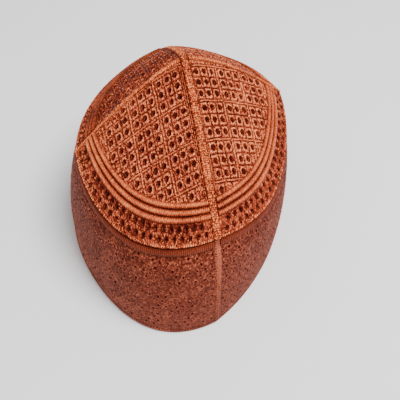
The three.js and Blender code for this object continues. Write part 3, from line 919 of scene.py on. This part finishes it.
def long_seam():
    """The wide seam from the front over the top to the back."""
    ways = np.concatenate([[1.0], np.linspace(0.99, 0.0005, 160)])
    front = crown(FRONT_RIGHT, 0.0, ways)
    back = crown(BACK_RIGHT, 0.0, ways)[::-1]
    line, run = resample(np.concatenate([front, back]), KNIT_STEP)
    ahead = unit(smooth(np.gradient(line, axis=0), 4))
    aside = unit(np.array([1.0, SIDE_SKEW, 0]) - ahead * SIDE_SKEW * ahead[:, 1:2])
    up = upward(np.cross(aside, ahead))
    relief, tone = knit_relief(run, 15, **LONG_KNIT)
    return strip(line, up, aside, LONG_SEAM_WIDTH + 0.1, CROWN_WALL, relief, tone)


def ridge(before, after):
    """The narrow seam between a front gore and the back one beside it."""
    ways = np.concatenate([[1.0], np.linspace(0.99, 0.04, 120)])
    line, run = resample(crown(before, QUARTER, ways), KNIT_STEP)
    ways_at = np.interp(run, np.linspace(0, run[-1], len(ways)), ways)
    ahead = unit(smooth(np.gradient(line, axis=0), 4))
    beside = QUARTER - 0.04
    aside = crown(after, beside, ways_at) - crown(before, beside, ways_at)
    aside = unit(aside - ahead * (aside * ahead).sum(1, keepdims=True))
    up = upward(np.cross(ahead, aside))
    relief, tone = knit_relief(run, 9, **RIDGE_KNIT)
    return strip(line, up, aside, RIDGE_WIDTH + 0.2, CROWN_WALL, relief, tone + 0.25)


# Side band, seen from the long seam's front foot round to the back one

def band_inset(rise, top):
    """How far the band lies inwards under the crown's edge."""
    below = np.clip((top - BAND_SHOULDER - rise) / INSET_FADE, 0, 1)
    return BAND_TOP_INSET * (1 - below) ** 2


class Wall:
    """One side of the band: u runs in millimetres from the front seam to the back one, v is the height."""

    def __init__(self, front, back):
        self.front = front
        self.back = back
        self.angles = np.linspace(-0.1, math.pi + 0.1, 600)
        line = self.at_angle(self.angles, 45.0 + 0 * self.angles)
        self.lengths = lengths_along(line)
        self.lengths -= np.interp(0, self.angles, self.lengths)
        self.whole = np.interp(math.pi, self.angles, self.lengths)

    def at_angle(self, angle, rise, out=0.0):
        ahead = level_point(self.front, angle, rise, out + 0 * rise)
        behind = level_point(self.back, math.pi - angle, rise, out + 0 * rise)
        return np.where((angle < QUARTER)[..., None], ahead, behind)

    def angle(self, u):
        return np.interp(u, self.lengths, self.angles)

    def top(self, u):
        angle = self.angle(u)
        own = np.where(angle < QUARTER, angle, math.pi - angle)
        dip = np.where(angle < QUARTER, self.front.dip, self.back.dip)
        return BAND_HEIGHT - dip * np.sin(2 * own) ** 2 - BAND_TOP_DROP

    def place(self, u, v):
        return self.at_angle(self.angle(u), v, -band_inset(v, self.top(u)))


def band_border(wall):
    """The outline of the band's cloth."""
    step = 0.8
    u = np.arange(BAND_CLEAR, wall.whole - BAND_CLEAR, step)
    top = wall.top(u)
    left = np.arange(BAND_FOOT + step, top[0], step)
    right = np.arange(BAND_FOOT + step, top[-1], step)
    return np.concatenate([
        np.stack([u, 0 * u + BAND_FOOT], -1),
        np.stack([0 * right + u[-1], right], -1),
        np.stack([u, top], -1)[::-1],
        np.stack([0 * left + u[0], left], -1)[::-1],
    ])


def band_eyelets(wall, border):
    """Middles and sizes of the band's small eyelets; only the lowest row is whole and straight."""
    skipped = SKIPPED_LEFT if wall.front.side < 0 else SKIPPED_RIGHT
    centres = []
    for row, rise in enumerate(np.arange(MESH_FOOT, MESH_HEAD, MESH_ROW)):
        shake = 0.5 if row else 0.15
        first = MESH_CLEAR + (row % 2) * MESH_PITCH / 2
        for across in np.arange(first, wall.whole - MESH_CLEAR, MESH_PITCH):
            if row and chance.random() < skipped:
                continue
            centres.append((across + chance.normal(0, shake), rise + chance.normal(0, shake * 0.7)))
    centres = np.array(centres)
    centres = centres[inside(centres, border)]
    centres = centres[distance_to_loop(centres, border) > 2.0]
    centres = centres[wall.top(centres[:, 0]) - centres[:, 1] > 7.5]
    return centres, MESH_HOLE * chance.uniform(0.6, 1.15, len(centres))


def by_cell(points):
    """Numbers of the points in each square cell of the plane."""
    members = {}
    for number, key in enumerate(map(tuple, np.floor(points / CELL).astype(int))):
        members.setdefault(key, []).append(number)
    return members


def nearest_gap(points, centres, radii):
    """Distance from points to the border of the nearest small eyelet."""
    best = np.full(len(points), FAR_GAP)
    eyelets = by_cell(centres)
    around = [(a, b) for a in (-1, 0, 1) for b in (-1, 0, 1)]
    for (column, row), members in by_cell(points).items():
        close = [number for a, b in around for number in eyelets.get((column + a, row + b), [])]
        if close:
            apart = np.linalg.norm(points[members][:, None] - centres[close][None], axis=2)
            best[members] = np.minimum(FAR_GAP, (apart - radii[close]).min(1))
    return best


def band_shell(wall):
    """One side of the band: painted shadow of the crown's edge darkens it upwards, where its thread gets
    rougher.
    """
    border = band_border(wall)
    centres, sizes = band_eyelets(wall, border)
    radii = sizes * 0.57
    holes = [ellipse(c, s, s * MESH_STRETCH, 8) for c, s in zip(centres, sizes)]
    points = [ellipse(c, s + 0.9, s * MESH_STRETCH + 0.9, 10, 0.3) for c, s in zip(centres, sizes)]
    u, v = np.meshgrid(np.arange(BAND_CLEAR, wall.whole, MESH_STEP), np.arange(BAND_FOOT, 90, MESH_STEP))
    u = u + 0.52 * (np.arange(len(u)) % 2)[:, None]
    fine = np.stack([u.ravel(), v.ravel()], -1)
    fine += chance.uniform(-0.22, 0.22, fine.shape)
    points.append(fine[nearest_gap(fine, centres, radii) > 0.7])
    verts, faces, rims = pattern_mesh(border, holes, np.concatenate(points), 0.3)
    gap = nearest_gap(verts, centres, radii)
    rough = chance.normal(0, 1, len(verts))
    rim_part = bump(gap - 0.45, 0.4)
    shoulder = np.clip((wall.top(verts[:, 0]) - verts[:, 1] - 6) / 3, 0, 1)
    height = verts[:, 1] / BAND_HEIGHT
    lift = (0.12 * rough + 0.15 * rim_part) * shoulder
    # Rough thread, and painted highlight on the eyelets' rims, both stronger towards the crown
    threads = lerp(0.5, 1.5, height) * (0.15 * rough + 0.2 * rim_part)
    # Darker towards the crown as painted shadow of its overhang; painted shade at the eyelets' borders
    tone = lerp(0.48, 0.34, height) + threads - 0.6 * bump(gap, 0.25)
    return cloth(verts, faces, rims, holes, wall.place, lift, tone, BAND_WALL)


def band_seam(gore):
    """The band's seam at the front or back, lighter towards the crown."""
    top = BAND_HEIGHT - BAND_TOP_DROP
    rises = np.linspace(BAND_FOOT, top, 240)
    line = wall_point(gore, 0.0 * rises, rises)
    line[:, 1] += gore.front * band_inset(rises, top)
    square = math.hypot(1, SIDE_SKEW)
    up = np.tile([gore.front * SIDE_SKEW / square, -gore.front / square, 0.0], (len(rises), 1))
    aside = np.tile([1 / square, SIDE_SKEW / square, 0.0], (len(rises), 1))
    relief, tone = knit_relief(rises, 11, **BAND_KNIT)
    lighter = lerp(0.0, 0.42, rises / top)[:, None]
    return strip(line, up, aside, BAND_SEAM_WIDTH - 0.2, BAND_WALL, relief, tone + lighter)


def binding(gore):
    """The ribbed strip under the crown's edge."""
    start = seam_angle(BINDING_CLEAR, EDGE_HALF_WIDTH)
    own = np.linspace(start, QUARTER * 0.999, BINDING_STATIONS)
    top = edge_height(gore, own) - BINDING_DROP
    run = lengths_along(level_point(gore, own, top, 0 * own))
    rings, tones = [], []
    for height, out, tone in BINDING_PROFILE:
        rib = np.cos(2 * math.pi * run / BINDING_RIB) * (tone > RIBBED_OVER)
        rings.append(level_point(gore, own, top + height, out + 0.14 * rib))
        # The ribs' raised crests are painted lighter, as highlight
        tones.append(tone + 0.25 * rib)
    return loft(np.stack(rings, 1), np.stack(tones, 1))


def hem():
    """The rolled rim that the cap stands on."""
    quarters = []
    for gore, flip in ((FRONT_RIGHT, False), (BACK_RIGHT, True), (BACK_LEFT, False), (FRONT_LEFT, True)):
        own = np.linspace(0, QUARTER, HEM_STATIONS, endpoint=False)
        if flip:
            own = QUARTER - own
        rings = [level_point(gore, own, height + 0 * own, out + 0 * own) for height, out, _ in HEM_PROFILE]
        quarters.append(np.stack(rings, 1))
    sections = np.concatenate(quarters)
    rib = np.cos(2 * math.pi * np.arange(len(sections)) / HEM_RIB)
    tones = [tone + 0.2 * rib * (tone > RIBBED_OVER) for _, _, tone in HEM_PROFILE]
    return loft(sections, np.stack(tones, 1), closed=True)


# Pieces

for gore in GORES:
    shells = [lattice_shell(gore), cord_bed(gore), *belt_shells(gore), edge_beads(gore)]
    add_piece(f"crown_cloth_{gore.name}", shells, COPPER, [f"crown_gore_{gore.name}"])
    cords = [f"base_cord_{gore.name}_{i}" for i in (1, 2, 3)]
    add_piece(f"satin_cords_{gore.name}", base_cords(gore), SATIN, cords)
    strips = [f"edge_binding_{gore.name}"]
    add_piece(f"ribbed_binding_{gore.name}", [binding(gore)], RIBBED, strips)
add_piece("knit_seam_long", [long_seam()], KNIT, ["crown_seam_long"])
add_piece("knit_ridge_right", [ridge(FRONT_RIGHT, BACK_RIGHT)], KNIT, ["crown_ridge_right"])
add_piece("knit_ridge_left", [ridge(FRONT_LEFT, BACK_LEFT)], KNIT, ["crown_ridge_left"])
for side, ahead, behind in (("right", FRONT_RIGHT, BACK_RIGHT), ("left", FRONT_LEFT, BACK_LEFT)):
    shell = band_shell(Wall(ahead, behind))
    add_piece(f"mesh_band_{side}", [shell], BAND, [f"side_band_{side}"])
add_piece("raised_seam_front", [band_seam(FRONT_RIGHT)], BAND, ["band_seam_front"])
add_piece("raised_seam_back", [band_seam(BACK_RIGHT)], BAND, ["band_seam_back"])
add_piece("rolled_hem", [hem()], BAND, ["rim_hem"])


# Floor, light and camera

FLOOR_REACH = 6.0
SKY = 0.6
LIT_POINT = (0, 0, 0.08)
# Columns: name, place, size, power
LIGHTS = (("key", (0.3, -0.22, 1.08), 0.5, 18.5), ("fill", (-0.7, -0.7, 0.6), 0.8, 1.5))


def floor_material():
    material = bpy.data.materials.new("floor")
    material.use_nodes = True
    shader = material.node_tree.nodes["Principled BSDF"]
    shader.inputs["Base Color"].default_value = (0.93, 0.93, 0.93, 1)
    shader.inputs["Roughness"].default_value = 0.9
    shader.inputs["Specular IOR Level"].default_value = 0.1
    return material


def make_floor():
    mesh = bpy.data.meshes.new("floor")
    corners = [(-1, -1), (1, -1), (1, 1), (-1, 1)]
    mesh.from_pydata([(x * FLOOR_REACH, y * FLOOR_REACH, 0) for x, y in corners], [], [(0, 1, 2, 3)])
    mesh.materials.append(floor_material())
    floor = bpy.data.objects.new("floor", mesh)
    bpy.context.scene.collection.objects.link(floor)


def area_light(name, place, size, power):
    """A round lamp that shines on the cap."""
    light = bpy.data.lights.new(name, "AREA")
    light.shape = "DISK"
    light.size = size
    light.energy = power
    lamp = bpy.data.objects.new(name, light)
    lamp.location = place
    lamp.rotation_mode = "QUATERNION"
    lamp.rotation_quaternion = (Vector(LIT_POINT) - Vector(place)).to_track_quat("-Z", "Y")
    bpy.context.scene.collection.objects.link(lamp)


def make_world():
    world = bpy.data.worlds.new("studio")
    world.use_nodes = True
    background = world.node_tree.nodes["Background"]
    background.inputs["Color"].default_value = (1, 1, 1, 1)
    background.inputs["Strength"].default_value = SKY
    bpy.context.scene.world = world


def make_camera():
    """The photograph's viewpoint, fitted to the cap's outline."""
    eye = np.array([-60.27, -246.89 + ORIGIN_BACK, 373.33])
    back = np.array([-0.1660, -0.5233, 0.8358])
    right = np.array([0.9532, -0.3023, 0.0])
    roll = 0.076
    back = unit(back)
    right = unit(right - back * (right @ back))
    up = np.cross(back, right)
    turned_right = math.cos(roll) * right + math.sin(roll) * up
    turned_up = -math.sin(roll) * right + math.cos(roll) * up
    camera = bpy.data.cameras.new("camera")
    camera.lens = 50.19
    camera.sensor_width = 36
    camera.clip_start = 0.01
    holder = bpy.data.objects.new("camera", camera)
    axes = np.stack([turned_right, turned_up, back], 1)
    rows = [[*row, place * MM] for row, place in zip(axes, eye)]
    holder.matrix_world = Matrix([*rows, [0, 0, 0, 1]])
    bpy.context.scene.collection.objects.link(holder)
    bpy.context.scene.camera = holder


make_floor()
make_world()
for light in LIGHTS:
    area_light(*light)
make_camera()
